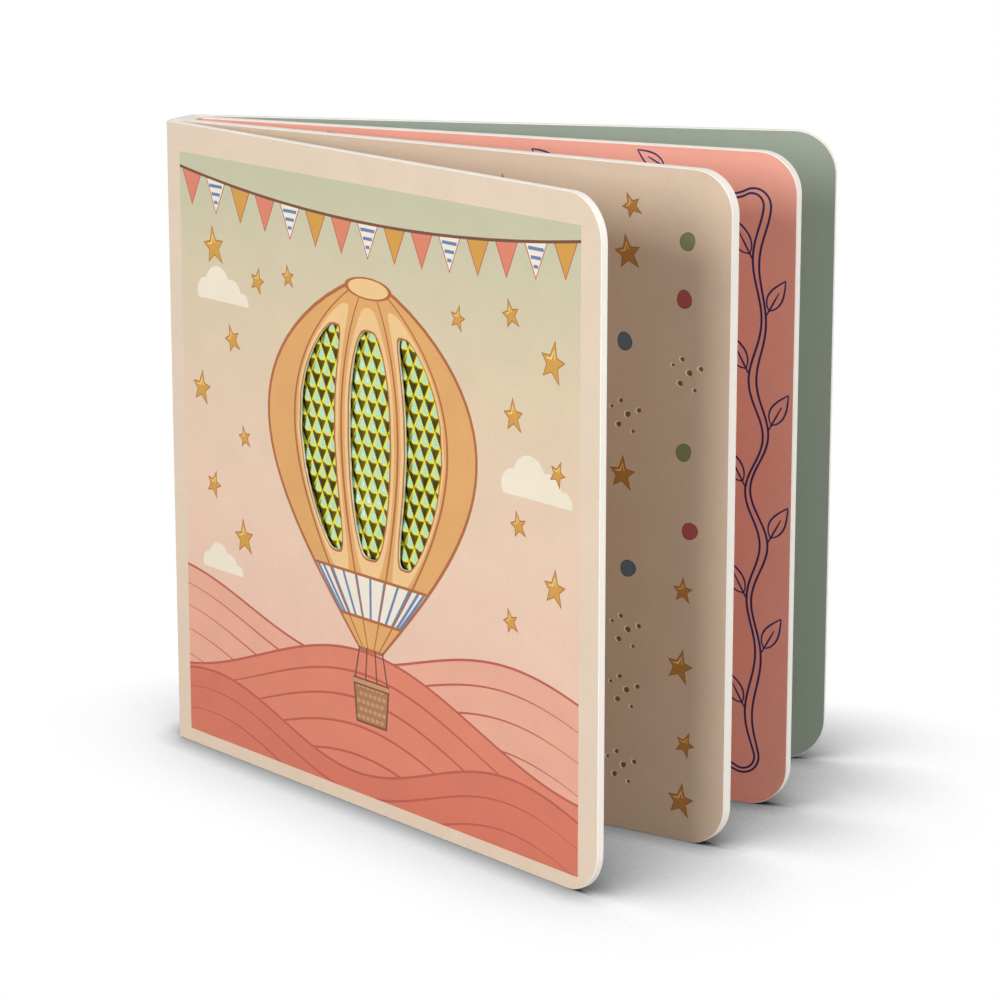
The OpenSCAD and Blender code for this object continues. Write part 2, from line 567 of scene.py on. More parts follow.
# %% Cover layers
ROOT_STEPS = 18


def root_arc(radius, front, back):
    """The half-round root between two depths, as u and depth of its points."""
    first = math.asin(max(-1, front / radius))
    last = math.asin(min(1, back / radius))
    turns = [first + (last - first) * k / ROOT_STEPS for k in range(ROOT_STEPS + 1)]
    spots = [(-radius * math.cos(t), radius * math.sin(t)) for t in turns]
    return [(0.0 if abs(u) < NEAR else u, depth) for u, depth in spots]


def cover_layer(board, front, back, front_art, back_art, front_ink, back_ink, root_ink):
    """One layer of a cover between two depths, with print on its faces and a half-round root."""
    radius = board.back
    shell = Shell()
    arc = root_arc(radius, front, back)
    rolled_front = abs(front + radius) < EDGE_ROLL
    rolled_back = abs(back - radius) < EDGE_ROLL
    front_inset = EDGE_ROLL if rolled_front else 0.0
    back_inset = EDGE_ROLL if rolled_back else 0.0
    levels = [(front, front_inset, arc[0][0])]
    if rolled_front:
        levels.append((front + EDGE_ROLL, 0.0, 0.0))
    if back - front > 2 * PAPER_LIP:
        if rolled_front:
            levels.append((front + PAPER_LIP, 0.0, 0.0))
        if rolled_back:
            levels.append((back - PAPER_LIP, 0.0, 0.0))
    if rolled_back:
        levels.append((back - EDGE_ROLL, 0.0, 0.0))
    levels.append((back, back_inset, arc[-1][0]))
    rings = [ring(board, *level) for level in levels]
    for k in range(len(rings) - 1):
        thin = levels[k + 1][0] - levels[k][0] < PAPER_LIP
        shell.strip(rings[k], rings[k + 1], "cut_white" if thin else "core")
    insets = [front_inset] + [0.0] * (len(arc) - 2) + [back_inset]
    foot = [board.at(u, depth, inset) for (u, depth), inset in zip(arc, insets)]
    head = [board.at(u, depth, board.height - inset) for (u, depth), inset in zip(arc, insets)]
    shell.strip(foot, head, root_ink)
    shell.face([r[0] for r in rings] + foot[-2:0:-1], "core")
    shell.face([r[-1] for r in rings] + head[-2:0:-1], "core")
    print_face(shell, board, front, edge_path(board, front_inset, arc[0][0]), front_art, front_ink)
    print_face(shell, board, back, edge_path(board, back_inset, arc[-1][0]), back_art, back_ink)
    return shell


print("root of a cover:", len(root_arc(front_cover.back, front_cover.front, front_cover.back)), "points")

# %% [markdown]
# ## The balloon's windows
#
# Three windows are die-cut through the cover's card, on three gores of a balloon. Their outline is
# the one that the source of the part uses, written again here because the frame holds only the cut
# result. The envelope is fullest above its middle and draws in to the mouth.

# %% Windows
ENVELOPE_R = 44
ENVELOPE_H = 106
ENVELOPE_U = 90
CROWN_V = 147
ENVELOPE_FULLNESS = 0.75
GORE_PITCH = 32
GORE_HALF = 11.5
WINDOW_DROP = 14
WINDOW_LEN = 62
WINDOW_CORNER = 0.55
WINDOW_POINTS = 48
WINDOW_MID = WINDOW_DROP + WINDOW_LEN / 2
GORES = (-1, 0, 1)
# A sine or cosine is rounded to these digits, so that its zeros stay zeros under the power
TRIG_DIGITS = 9


def envelope_radius(drop):
    """Half the width of the envelope at a drop below its crown."""
    return ENVELOPE_R * math.sin(math.pi * (drop / ENVELOPE_H) ** ENVELOPE_FULLNESS)


def on_envelope(turn, drop):
    """The point of the envelope at a turn about its upright axis, in degrees, and a drop below its crown."""
    return ENVELOPE_U + envelope_radius(drop) * math.sin(math.radians(turn)), CROWN_V - drop


def squarish(s):
    """A sine or cosine pushed outward, which turns a round into a rounded oblong."""
    return math.copysign(abs(s) ** WINDOW_CORNER, s)


def window(gore, wider=0.0, longer=0.0):
    """The outline of a gore's window, grown by some degrees and millimetres on each side."""
    points = []
    for k in range(WINDOW_POINTS):
        angle = 2 * math.pi * k / WINDOW_POINTS
        drop = WINDOW_MID - squarish(round(math.sin(angle), TRIG_DIGITS)) * (WINDOW_LEN / 2 + longer)
        turn = gore * GORE_PITCH + squarish(round(math.cos(angle), TRIG_DIGITS)) * (GORE_HALF + wider)
        points.append(on_envelope(turn, drop))
    return points


for gore in GORES:
    span = [u for u, v in window(gore)]
    print(f"window {gore:+d}: {max(span) - min(span):.1f} mm wide")

# %% [markdown]
# ## The cover's picture
#
# A square picture sits inside a cream margin: a sky that turns from sage to peach, coral hills with
# painted furrows, a caramel balloon, a row of pennants and a sprinkle of stars. It is flat colour with
# darker lines, as printed children's books have, so each part is a polygon and its lines are strokes.

# %% Inks of the picture
SKY_LOW = 30 * MM
SKY_HIGH = 170 * MM
SKY_STOPS = (
    (0.0, tone(233, 192, 172)),
    (0.35, tone(234, 203, 179)),
    (0.7, tone(221, 202, 172)),
    (1.0, tone(196, 195, 164)),
)


def sky(wire, place):
    """Sage at the top, then cream, then peach."""
    height = wire.node("ShaderNodeSeparateXYZ", {}, {"Vector": place}, "Z")
    share = (height - SKY_LOW) * (1 / (SKY_HIGH - SKY_LOW))
    return wire.node("ShaderNodeValToRGB", {"stops": SKY_STOPS}, {"Fac": share})


printed("sky", sky)
printed("far_hill", tone(231, 170, 146), cloud=0.08)
printed("coral", tone(219, 129, 103), cloud=0.08)
printed("coral_deep", tone(210, 116, 92), cloud=0.08)
printed("coral_line", tone(184, 90, 74))
printed("cloud", tone(240, 229, 207))
printed("caramel", tone(222, 166, 102), cloud=0.08)
printed("caramel_light", tone(238, 198, 140), cloud=0.08)
printed("caramel_line", tone(172, 100, 52))
printed("wicker", tone(166, 116, 80), cloud=0.1)
printed("wicker_light", tone(196, 146, 104), cloud=0.1)
printed("wicker_line", tone(112, 68, 44))
printed("stripe_white", tone(240, 230, 214))
printed("stripe_blue", tone(98, 128, 168))
print(len(INKS), "inks in all")

# %% [markdown]
# ### Hills
#
# The lower third of the picture is three bands of hill, with furrows that follow their ridges. They could
# be drawn by hand as curves. A sine for each ridge is shorter, and every furrow is the same line again,
# let down by a little more.

# %% Hills
MARGIN_ROOT, MARGIN_FOOT, MARGIN_EDGE, MARGIN_HEAD = 5.5, 4.0, 7.5, 8.0
PICTURE = (MARGIN_ROOT, MARGIN_FOOT, front_cover.width - MARGIN_EDGE, front_cover.height - MARGIN_HEAD)
HILL_POINTS = 70
FURROWS = (6, 12.5, 19.5, 27, 35)
FURROW_WIDTH = 0.7
FURROW_TAPER = 0.3
FURROW_SPREAD = 0.25
# Ink, middle height, swell, length of a swell and its start along the hill
HILLS = (
    ("far_hill", 47, 7, 150, 40),
    ("coral", 34, 11, 190, 150),
    ("coral_deep", 17, 7, 130, 15),
)


def ridge(hill, u):
    ink, middle, swell, length, start = hill
    return middle + swell * math.sin(2 * math.pi * (u + start) / length)


def hills():
    left, bottom, right, top = PICTURE
    across = [left + (right - left) * k / HILL_POINTS for k in range(HILL_POINTS + 1)]
    art = []
    for hill in HILLS:
        slope = [(u, ridge(hill, u)) for u in across[::-1]]
        art.append((hill[0], [(left, bottom), (right, bottom)] + slope))
        crest = [(u, ridge(hill, u) - FURROW_WIDTH / 2) for u in across]
        art += line("coral_line", crest, FURROW_WIDTH, box=PICTURE)
        for drop in FURROWS:
            furrow = [(u, ridge(hill, u) - drop * (1 + FURROW_SPREAD * u / right)) for u in across]
            art += line("coral_line", furrow, FURROW_WIDTH, FURROW_TAPER, PICTURE)
    return [(ink, shape) for ink, shape in art if len(shape) > 2]


print(len(hills()), "shapes in the hills")

# %% [markdown]
# ### Panels and outlines
#
# A balloon is sewn from panels, and print gives each shape a dark outline. A panel is the part of the
# envelope between two turns and two drops. An outline could be a stroke round the shape, but a slightly
# larger copy below it does the same with one polygon.

# %% Panels and outlines
PANEL_STEPS = 30


def between_drops(first, last, turn_left, turn_right):
    """A panel of the envelope between two drops and two turns."""
    drops = [first + (last - first) * k / PANEL_STEPS for k in range(PANEL_STEPS + 1)]
    return [on_envelope(turn_left, d) for d in drops] + [on_envelope(turn_right, d) for d in drops[::-1]]


def grown(shape, centre, by):
    """A shape grown outward from a centre by about a width."""
    out = []
    for u, v in shape:
        arm = math.hypot(u - centre[0], v - centre[1])
        out.append((u + (u - centre[0]) / arm * by, v + (v - centre[1]) / arm * by))
    return out


print("a panel has", len(between_drops(1, 2, -1, 1)), "points")

# %% [markdown]
# ### Balloon
#
# The balloon is flat colour with brown seams round the three windows. A round body could be modelled and
# flattened, but print has no depth. Each seam is a meridian of the envelope, worked out with the formula
# of the windows, so that print and cut-outs line up.

# %% Balloon
TIP_DROP = 0.4
MOUTH_DROP = 101
SIDE_TURN = 90
BALLOON_LINE = 1.0
RIB_TURNS = (-48, -16, 16, 48)
RIB_WIDTH = 0.8
RIB_TAPER = 0.5
RIB_STEPS = 60
RIB_START = 2
BAND_TOP, BAND_FOOT = 81, 93
BAND_TURNS = range(-75, 76, 15)
BAND_STEPS = 8
STRIPE_WIDTH = 0.9
SEAM_TURNS = range(-88, 89, 8)
CAP_DROP = 2.4
CAP_HALF = 9.0
CAP_SQUASH = 0.3
# Growth of a window on each side, in degrees and millimetres: for its light panel and for its outline
PANEL_GROWTH = (2.6, 6.5)
OUTLINE_GROWTH = (0.9, 0.6)


def balloon():
    whole = between_drops(TIP_DROP, MOUTH_DROP, -SIDE_TURN, SIDE_TURN)
    art = [("caramel_line", grown(whole, (ENVELOPE_U, CROWN_V - WINDOW_MID), BALLOON_LINE))]
    art.append(("caramel", whole))
    for gore in GORES:
        art.append(("caramel_light", window(gore, *PANEL_GROWTH)))
    art.append(("stripe_white", between_drops(BAND_TOP, BAND_FOOT, -SIDE_TURN, SIDE_TURN)))
    band_drops = [BAND_TOP + (BAND_FOOT - BAND_TOP) * k / BAND_STEPS for k in range(BAND_STEPS + 1)]
    for turn in BAND_TURNS:
        art += line("stripe_blue", [on_envelope(turn, drop) for drop in band_drops], STRIPE_WIDTH)
    for drop in (BAND_TOP, BAND_FOOT):
        art += line("caramel_line", [on_envelope(turn, drop) for turn in SEAM_TURNS], RIB_WIDTH)
    rib_drops = [MOUTH_DROP * k / RIB_STEPS for k in range(RIB_START, RIB_STEPS + 1)]
    for turn in RIB_TURNS:
        art += line("caramel_line", [on_envelope(turn, drop) for drop in rib_drops], RIB_WIDTH, RIB_TAPER)
    crown = (ENVELOPE_U, CROWN_V - CAP_DROP)
    art.append(("caramel_line", disc(*crown, CAP_HALF + BALLOON_LINE, CAP_SQUASH)))
    art.append(("caramel_light", disc(*crown, CAP_HALF - BALLOON_LINE / 2, CAP_SQUASH)))
    for gore in GORES:
        art.append(("caramel_line", window(gore, *OUTLINE_GROWTH)))
        art.append((CUT_OUT, window(gore)))
    return art


print(len(balloon()), "shapes in the balloon")

# %% [markdown]
# ### Basket
#
# The basket hangs on four ropes, and its weave is a few rows of light dabs. A woven texture would be too
# fine to see at this size, so the dabs are plain ovals in staggered rows.

# %% Basket
BASKET_TOP, BASKET_FOOT = 36, 25
BASKET_HALF_TOP, BASKET_HALF_FOOT = 7.2, 6.0
BASKET_LINE = 0.9
ROPE_SHARES = (-1, -0.35, 0.35, 1)
ROPE_WIDTH = 0.6
WEAVE_ROWS = 5
WEAVE_COUNT = 6
WEAVE_PITCH = 2.0
WEAVE_REACH = 0.8
WEAVE_SQUASH = 0.75
RIM_PAST = 0.6
RIM_WIDTHS = {"wicker_line": 2.2, "wicker_light": 1.2}


def basket():
    mouth = CROWN_V - MOUTH_DROP
    half = envelope_radius(MOUTH_DROP)
    art = []
    for share in ROPE_SHARES:
        rope = [(ENVELOPE_U + share * half, mouth), (ENVELOPE_U + share * BASKET_HALF_TOP, BASKET_TOP)]
        art += line("wicker_line", rope, ROPE_WIDTH)
    tub = [
        (ENVELOPE_U - BASKET_HALF_FOOT, BASKET_FOOT),
        (ENVELOPE_U + BASKET_HALF_FOOT, BASKET_FOOT),
        (ENVELOPE_U + BASKET_HALF_TOP, BASKET_TOP),
        (ENVELOPE_U - BASKET_HALF_TOP, BASKET_TOP),
    ]
    art.append(("wicker_line", grown(tub, (ENVELOPE_U, (BASKET_TOP + BASKET_FOOT) / 2), BASKET_LINE)))
    art.append(("wicker", tub))
    for row in range(WEAVE_ROWS):
        v = BASKET_FOOT + (BASKET_TOP - BASKET_FOOT) * (row + 0.5) / WEAVE_ROWS
        stagger = 0.5 * (row % 2) - 0.25
        for k in range(WEAVE_COUNT):
            u = ENVELOPE_U + (k - (WEAVE_COUNT - 1) / 2 + stagger) * WEAVE_PITCH
            art.append(("wicker_light", disc(u, v, WEAVE_REACH, WEAVE_SQUASH)))
    rim_half = BASKET_HALF_TOP + RIM_PAST
    rim = [(ENVELOPE_U - rim_half, BASKET_TOP), (ENVELOPE_U + rim_half, BASKET_TOP)]
    for ink, width in RIM_WIDTHS.items():
        art += line(ink, rim, width)
    return art


print(len(basket()), "shapes in the basket")

# %% [markdown]
# ### Pennants
#
# A cord with a row of paper flags sags across the top of the sky. A hanging cord could be simulated. A
# parabola looks the same in print, and each flag takes its upper corners from it.

# %% Pennants
CORD_V = 168.0
CORD_SAG = 6.0
CORD_STEPS = 60
CORD_WIDTH = 0.8
PENNANTS = 15
PENNANT_LEN = 9.0
PENNANT_WIDTH = 8.4
PENNANT_LINE = 0.7
PENNANT_INKS = ("coral", "stripe_white", "gold")
BAR_SHARES = (0.2, 0.45, 0.7)
BAR_INSET = 0.4


def pennants():
    left, bottom, right, top = PICTURE
    middle = (left + right) / 2

    def cord(u):
        return CORD_V - CORD_SAG * (1 - ((u - middle) / (right - middle)) ** 2)

    pitch = (right - left) / PENNANTS
    art = []
    for k in range(PENNANTS):
        u = left + pitch * (k + 0.5)
        half = PENNANT_WIDTH / 2
        flag = [(u - half, cord(u - half)), (u, cord(u) - PENNANT_LEN), (u + half, cord(u + half))]
        ink = PENNANT_INKS[k % len(PENNANT_INKS)]
        art.append(("coral_line", grown(flag, (u, cord(u) - PENNANT_LEN / 3), PENNANT_LINE)))
        art.append((ink, flag))
        if ink == "stripe_white":
            for share in BAR_SHARES:
                v = cord(u) - PENNANT_LEN * share
                bar = [(u - half * (1 - share) + BAR_INSET, v), (u + half * (1 - share) - BAR_INSET, v)]
                art += line("stripe_blue", bar, STRIPE_WIDTH)
    across = [left + (right - left) * k / CORD_STEPS for k in range(CORD_STEPS + 1)]
    return art + line("wicker_line", [(u, cord(u)) for u in across], CORD_WIDTH, box=PICTURE)


print(len(pennants()), "shapes in the pennants")

# %% [markdown]
# ### Clouds, stars and the whole picture
#
# Clouds are overlapping discs with a flat foot, and the stars fill the sky beside the balloon. The order
# of the list is the order of printing: what comes later covers what came before.

# %% Whole picture
# u, v, reach and turn of the stars
COVER_STARS = (
    (21, 147, 5.0, 8), (41, 140, 3.2, -14), (29, 122, 3.6, 20), (14, 106, 4.4, -6), (34, 95, 2.8, 12),
    (19, 79, 3.4, -18), (33, 66, 4.6, 5), (148, 146, 3.4, 16), (164, 136, 5.0, -10), (149, 120, 4.0, 4),
    (166, 108, 3.0, -22), (151, 92, 3.2, 14), (165, 78, 4.4, -4), (148, 66, 3.0, 18), (55, 143, 2.8, 6),
    (127, 142, 3.0, -12),
)
# u, v and size of the clouds
CLOUDS = ((24, 134, 1.0), (157, 102, 1.15), (22, 56, 0.8))
# Offsets and reach of the discs of a cloud, and how far its flat foot lies below its middle
PUFFS = ((-7, 0, 4), (-1.5, 2.2, 5.6), (5, 0.4, 4.4), (10, -1.2, 2.8))
CLOUD_FOOT = 2
left, bottom, right, top = PICTURE


def clouds():
    art = []
    for u, v, size in CLOUDS:
        sky_box = (left, v - CLOUD_FOOT * size, right, top)
        for du, dv, reach in PUFFS:
            art.append(("cloud", clipped(disc(u + du * size, v + dv * size, reach * size), sky_box)))
    return art


cover_art = [("sky", [(left, bottom), (right, bottom), (right, top), (left, top)])]
cover_art += clouds() + hills() + balloon() + basket() + pennants()
for place in COVER_STARS:
    cover_art += gold_star(*place)
print(len(cover_art), "shapes on the cover")

# %% [markdown]
# ## Prints of the pages
#
# Facing pages share one ground. The first pair is beige with stars, dots and little groups of pressed
# pits, the second is coral with a vine round its border, and the third is sage with a few small stars.
# Motifs could be placed by hand. Here they are strewn on a jittered grid, with a fixed seed so that they
# come out alike every time. The pits are flat: their brown is partly their own colour and partly painted
# shade of a dent, and a light rim on their left is a painted highlight in place of the dent's lit side.

# %% Beige inks and motifs
DOTS = {"dot_red": (178, 80, 86), "dot_green": (132, 138, 96), "dot_blue": (98, 114, 128)}
DOT_RIM_DEPTH = 0.9
for name, levels in DOTS.items():
    printed(name, tone(*levels), cloud=0.12)
    printed(name + "_rim", tone(*(DOT_RIM_DEPTH * level for level in levels)))
# A pit's brown is partly its own colour and partly painted shade; its light rim is a painted highlight
printed("pit", tone(126, 92, 52))
printed("pit_rim", tone(255, 246, 228))
DOT_REACH = 2.4
DOT_RIM = 0.35
# How far each pit's painted highlight is shifted to the left and grown
PIT_HIGHLIGHT_SHIFT = 0.32
# Offsets and reach of the pits in a group
PITS = (
    (-4.6, 2.4, 0.45), (-1.8, 4.2, 0.6), (0.4, 0.8, 0.8),
    (3.8, 2.2, 0.65), (-2.4, -2.2, 0.75), (2.0, -3.6, 0.5),
)
PAGE_STARS = {"star": 4.2, "small_star": 3.0}
# The row of motifs is gone through three apart, and one further after every seven
STREWN = (
    "star", "pits", "dot_red", "small_star", "pits", "dot_green", "star", "dot_blue", "pits", "small_star",
)
STREW_STRIDE = 3
STREW_SLIP = 7
print(len(set(STREWN)), "kinds of motif on the beige pages")

# %% [markdown]
# ### Strewn motifs
#
# On the printed page the motifs lie loosely, with much paper between them. Fully random places would
# clump, so each motif takes a cell of a grid and moves about in it, and every other column is moved up.

# %% Strewn motifs
STREW_PITCH = 19.0
STREW_EDGE = 11.0
STREW_JITTER = 3.2
STREW_TURN = 25


def strewn(board, start, seed, pitch):
    """Places on a board's face, on a jittered grid that keeps clear of its edges."""
    chance = random.Random(seed)
    columns = int((board.width - start - 2 * STREW_EDGE) / pitch) + 1
    rows = int((board.height - 2 * STREW_EDGE) / pitch) + 1
    places = []
    for column in range(columns):
        for row in range(rows):
            u = board.width - STREW_EDGE - column * pitch + chance.uniform(-STREW_JITTER, 0)
            v = STREW_EDGE + row * (board.height - 2 * STREW_EDGE) / (rows - 1)
            v += chance.uniform(-STREW_JITTER, STREW_JITTER) + (pitch / 4 if column % 2 else -pitch / 4)
            turn = chance.uniform(-STREW_TURN, STREW_TURN)
            places.append((u, min(max(v, STREW_EDGE), board.height - STREW_EDGE), turn))
    return places


def beige_art(board, start, seed):
    art = []
    for k, (u, v, turn) in enumerate(strewn(board, start, seed, STREW_PITCH)):
        kind = STREWN[(k * STREW_STRIDE + k // STREW_SLIP) % len(STREWN)]
        if kind in PAGE_STARS:
            art += gold_star(u, v, PAGE_STARS[kind], turn, "page_gold")
        elif kind == "pits":
            for du, dv, reach in PITS:
                # Each pit gets a painted highlight, shifted to its left, under its brown
                art.append(("pit_rim", blob(u + du - PIT_HIGHLIGHT_SHIFT, v + dv, reach + PIT_HIGHLIGHT_SHIFT / 2, turn)))
                art.append(("pit", blob(u + du, v + dv, reach, turn)))
        else:
            art.append((kind + "_rim", blob(u, v, DOT_REACH, turn)))
            art.append((kind, blob(u, v, DOT_REACH - DOT_RIM, turn)))
    return art


print(len(beige_art(leaf_a, start=0, seed=1)), "shapes on a beige page")

# %% [markdown]
# ### Coral pages
#
# A vine runs round the border, from the root along the foot, up the fore-edge and back along the head. It
# follows a path that could be a Bezier curve. Points about a millimetre apart are enough, each with the
# direction that leads outward there, because everything on the vine is measured from that path.

# %% Border of a page
VINE_EDGE = 10.0
VINE_START = 4
VINE_TURN = 5.0
TURN_STEPS = 12


def border(board, start):
    """Closely spaced points along a page's border, from the root round the fore-edge, with their normals."""
    right, top = board.width - VINE_EDGE, board.height - VINE_EDGE
    knots = [(start + VINE_START, VINE_EDGE)]
    for v, first in ((VINE_EDGE + VINE_TURN, -90), (top - VINE_TURN, 0)):
        for k in range(TURN_STEPS + 1):
            angle = math.radians(first + 90 * k / TURN_STEPS)
            knots.append((right - VINE_TURN + VINE_TURN * math.cos(angle), v + VINE_TURN * math.sin(angle)))
    knots.append((start + VINE_START, top))
    path = []
    for a, b in zip(knots, knots[1:]):
        run = math.hypot(b[0] - a[0], b[1] - a[1])
        steps = max(1, round(run))
        normal = ((b[1] - a[1]) / run, (a[0] - b[0]) / run)
        for k in range(steps):
            share = k / steps
            path.append(((a[0] + (b[0] - a[0]) * share, a[1] + (b[1] - a[1]) * share), normal))
    return path


print(len(border(leaf_b, start=0)), "points along the border of a page")

# %% [markdown]
# ### A leaf of the vine
#
# Each leaf is an outline drawn with a thin brush, with a midrib that comes out of its stem. A filled leaf
# would be one polygon, but here the paper shows through. Each side is a line that swells like a sine, and
# one side swells less than the other, as a hand draws it.

# %% Vine leaf
printed("navy", tone(38, 32, 88))
LEAF_LEN = 10.0
LEAF_HALF = 2.4
LEAF_STEPS = 10
LEAF_SIDES = (1, -0.8)
LEAF_FULLNESS = 0.75
LEAF_LINE = 0.55
LEAF_TAPER = 0.7
MIDRIB_SHARES = (0.3, 0.6)
MIDRIB_TAPER = 0.6
STEM_LEN = 1.8


def vine_leaf(u, v, turn, size):
    """A leaf drawn with a thin brush: two curved sides, and a midrib that starts at its stem."""
    def placed(a, b):
        return u + a * math.cos(turn) - b * math.sin(turn), v + a * math.sin(turn) + b * math.cos(turn)

    length, half = LEAF_LEN * size, LEAF_HALF * size
    art = []
    for side in LEAF_SIDES:
        edge = []
        for k in range(LEAF_STEPS + 1):
            share = k / LEAF_STEPS
            bulge = math.sin(math.pi * share ** LEAF_FULLNESS)
            edge.append(placed(STEM_LEN + length * share, side * half * bulge))
        art += line("navy", edge, LEAF_LINE, LEAF_TAPER)
    midrib = [0, STEM_LEN] + [STEM_LEN + length * share for share in MIDRIB_SHARES]
    return art + line("navy", [placed(a, 0) for a in midrib], LEAF_LINE, MIDRIB_TAPER)


print(len(vine_leaf(0, 0, 0, 1)), "shapes in a leaf of the vine")

# %% [markdown]
# ### The vine
#
# The stem is two thin brushed strands side by side. A curve with a bevel would stand off the page, and ink
# doesn't. So both strands are set off from the border's path by a slow wave, and a leaf grows out of each
# bend, to the outer and the inner side by turns, except where the border is about to turn.

# %% Vine of the coral pages
VINE_WAVE = 31.0
VINE_SWING = 2.3
# The swing is a mean share that rises and falls along the border
SWAY_MEAN = 0.8
SWAY_SWING = 0.3
SWAY_LENGTH = 17
STRAND_GAP = 0.85
GAP_WAVE = 43.0
GAP_SWING = 0.3
STRAND_WIDTH = 0.62
LEAF_LEAN = 0.5
# Sizes of the leaves on the outer and the inner side, and how much they vary
LEAF_SIZES = {1: 0.9, -1: 1.1}
LEAF_VARY = 0.1
# A leaf starts this many points past its bend, and needs this many points of straight border ahead
LEAF_LAG = 1
LEAF_CLEAR = 14
# Cosine of the turn from which on the border no longer counts as straight
LEAF_STRAIGHT = 0.99


def coral_art(board, start):
    """Two thin strands that run side by side round the border, with leaves out of their bends."""
    path = border(board, start)
    strands = {1: [], -1: []}
    for k, (spot, normal) in enumerate(path):
        share = SWAY_MEAN + SWAY_SWING * math.sin(k / SWAY_LENGTH)
        sway = VINE_SWING * math.sin(2 * math.pi * k / VINE_WAVE) * share
        for side, strand in strands.items():
            offset = sway + side * STRAND_GAP * (1 + GAP_SWING * math.sin(2 * math.pi * k / GAP_WAVE))
            strand.append((spot[0] + normal[0] * offset, spot[1] + normal[1] * offset))
    art = line("navy", strands[1], STRAND_WIDTH) + line("navy", strands[-1], STRAND_WIDTH)
    for bend in range(int(2 * (len(path) - LEAF_LEN) / VINE_WAVE)):
        k = round((bend + 0.5) * VINE_WAVE / 2) + LEAF_LAG
        side = -1 if bend % 2 else 1
        normal = path[k][1]
        ahead = path[min(k + LEAF_CLEAR, len(path) - 1)][1]
        if normal[0] * ahead[0] + normal[1] * ahead[1] < LEAF_STRAIGHT:
            continue
        run = math.atan2(normal[0], -normal[1])
        size = LEAF_SIZES[side] + LEAF_VARY * math.cos(k)
        art += vine_leaf(*strands[side][k], run - side * LEAF_LEAN, size)
    return art


print(len(coral_art(leaf_b, start=0)), "shapes on a coral page")

# %% [markdown]
# ### Sage pages
#
# The last pair of pages is plain sage with a few small stars, of two sizes by turns. The grid of the beige
# pages serves again, at a wider pitch.

# %% Sage pages
SAGE_PITCH = 34.0
SAGE_STARS = (2.1, 1.5)


def sage_art(board, start, seed):
    art = []
    for k, (u, v, turn) in enumerate(strewn(board, start, seed, SAGE_PITCH)):
        art += gold_star(u, v, SAGE_STARS[k % len(SAGE_STARS)], turn, "page_gold")
    return art


print(len(sage_art(back_cover, start=0, seed=1)), "shapes on a sage page")

# %% [markdown]
# ## The covers
#
# The front cover is a printed card, die-cut with windows, over a board whose pocket holds the foil. The
# card could be a plane with holes in its material. It is a real layer with cut walls, because its white
# core shows at the rim of each window.

# %% Cover card
card_depths = [front_cover.local(v.co)[1] for v in frame["nodes"]["front_cover_card"].data.vertices]
card_back = max(card_depths)
windows = [(CUT_OUT, window(gore)) for gore in GORES]
card = cover_layer(front_cover, front_cover.front, card_back, cover_art, windows, "cream", "core", "cream")
for gore in GORES:
    card.wall(front_cover, window(gore), front_cover.front, card_back, "cut_white")
card.piece("cover_card", "front_cover", "cover_card", "front_cover_card")

# %% [markdown]
# ### The board behind the card
#
# The board is thicker than the card and has a shallow pocket for the film. A Boolean could cut it, but the
# print of a face is cut by outlines already, so the pocket is one more outline, with walls and a floor. Its
# place and its depth are read from the CAD node.

# %% Cover board with its pocket
# Points this near to the hinge belong to the root
POCKET_SEARCH = 10
board_points = [front_cover.local(v.co) for v in frame["nodes"]["front_cover_board"].data.vertices]
pocket_floor = min(d for u, d, v in board_points if u > POCKET_SEARCH and d > card_back + EDGE_ROLL)
on_floor = [(u, v) for u, d, v in board_points if u > POCKET_SEARCH and abs(d - pocket_floor) < EDGE_ROLL]
pocket_left, pocket_right = min(u for u, v in on_floor), max(u for u, v in on_floor)
pocket_foot, pocket_head = min(v for u, v in on_floor), max(v for u, v in on_floor)
pocket = [
    (pocket_left, pocket_foot), (pocket_right, pocket_foot),
    (pocket_right, pocket_head), (pocket_left, pocket_head),
]
hole = [(CUT_OUT, pocket)]
inside = beige_art(front_cover, start=0, seed=5)
backing = cover_layer(front_cover, card_back, front_cover.back, hole, inside, "core", "beige", "beige")
backing.wall(front_cover, pocket, card_back, pocket_floor, "core")
backing.face([front_cover.at(u, pocket_floor, v) for u, v in pocket], "core")
backing.piece("cover_board", "front_cover", "cover_board", "front_cover_board")

# %% [markdown]
# ### The back cover
#
# The back cover is one board: sage with stars on its inner side and plain cream on its outer side, which
# the picture doesn't show. It is the same kind of layer as the front's, but from face to face.

# %% Back cover
lining = sage_art(back_cover, start=0, seed=9)
back = cover_layer(back_cover, back_cover.front, back_cover.back, lining, [], "sage_page", "cream", "cream")
back.piece("back_board", "back_cover", "cover_board", "back_cover")

# %% [markdown]
# ## The leaves
#
# Both leaves are one solid: they are glued together at the gutter and flush at the spine. A Boolean could
# join two boards, but every ring of points is known here, so the faces between them are laid directly.
# Each leaf has six rings of edge, and the solid is closed by the gutter's floor, the root plane and a cap
# at the foot and at the head.

# %% Pages
# How far from the root the print of a leaf begins
PAGE_START = 8
PAGE_EDGE_INKS = ("cut_white", "cut_white", "core", "cut_white", "cut_white")
ROOT_X = pages_low.x
GUTTER_X = min(v.co.x for v in frame["nodes"]["pages"].data.vertices if v.co.x > ROOT_X + MM)


def page_levels(board, front_x, back_x):
    """Depth, inset and start of each ring of a leaf's edge."""
    depths = (board.front, board.front + EDGE_ROLL, board.front + PAPER_LIP)
    depths += (board.back - PAPER_LIP, board.back - EDGE_ROLL, board.back)
    insets = (EDGE_ROLL, 0.0, 0.0, 0.0, 0.0, EDGE_ROLL)
    planes = (front_x, front_x, front_x, back_x, back_x, back_x)
    return [(depth, inset, board.root_u(x, depth)) for depth, inset, x in zip(depths, insets, planes)]


